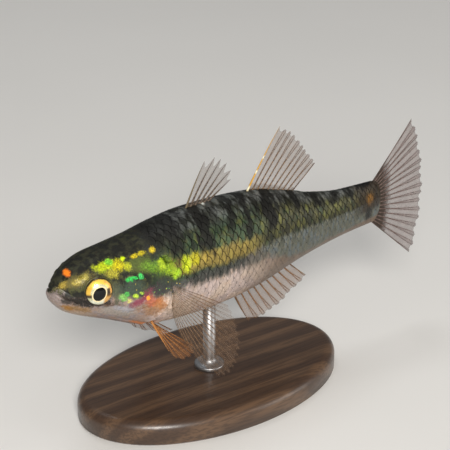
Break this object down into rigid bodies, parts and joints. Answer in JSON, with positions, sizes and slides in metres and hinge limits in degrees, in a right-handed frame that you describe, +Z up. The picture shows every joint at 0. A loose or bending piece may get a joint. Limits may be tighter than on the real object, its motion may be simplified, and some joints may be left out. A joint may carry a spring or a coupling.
{
  "type": "sunburst gudgeon fish model",
  "caption": "Life-size still model of a small freshwater gudgeon with spread fins, held level over an oval base by one rod.",
  "frame": {"origin": "centre of the underside of the stand's oval base", "axes": "+Z up, head towards -X and tail towards +X, the fish's left side towards -Y"},
  "size_m": [0.072, 0.028, 0.042],
  "materials": {
    "skin": "wet scaled skin, dark olive bars over a yellow-green flank and a pale belly",
    "fins": "thin clear membrane with brownish rays",
    "eye": "clear cornea over a silver and gold iris and a black pupil",
    "base_wood": "dark satin wood",
    "rod_steel": "brushed"
  },
  "bodies": {
    "root": {"head": "skin", "lower_jaw": "skin", "gill_cover_left": "skin", "gill_cover_right": "skin", "trunk": "skin", "tail_stem": "skin", "eye_left": "eye", "eye_right": "eye", "dorsal_fin_front": "fins", "dorsal_fin_rear": "fins", "anal_fin": "fins", "caudal_fin": "fins", "pectoral_fin_left": "fins", "pectoral_fin_right": "fins", "pelvic_fin_left": "fins", "pelvic_fin_right": "fins", "stand_base": "base_wood", "stand_rod": "rod_steel"}
  },
  "joints": []
}
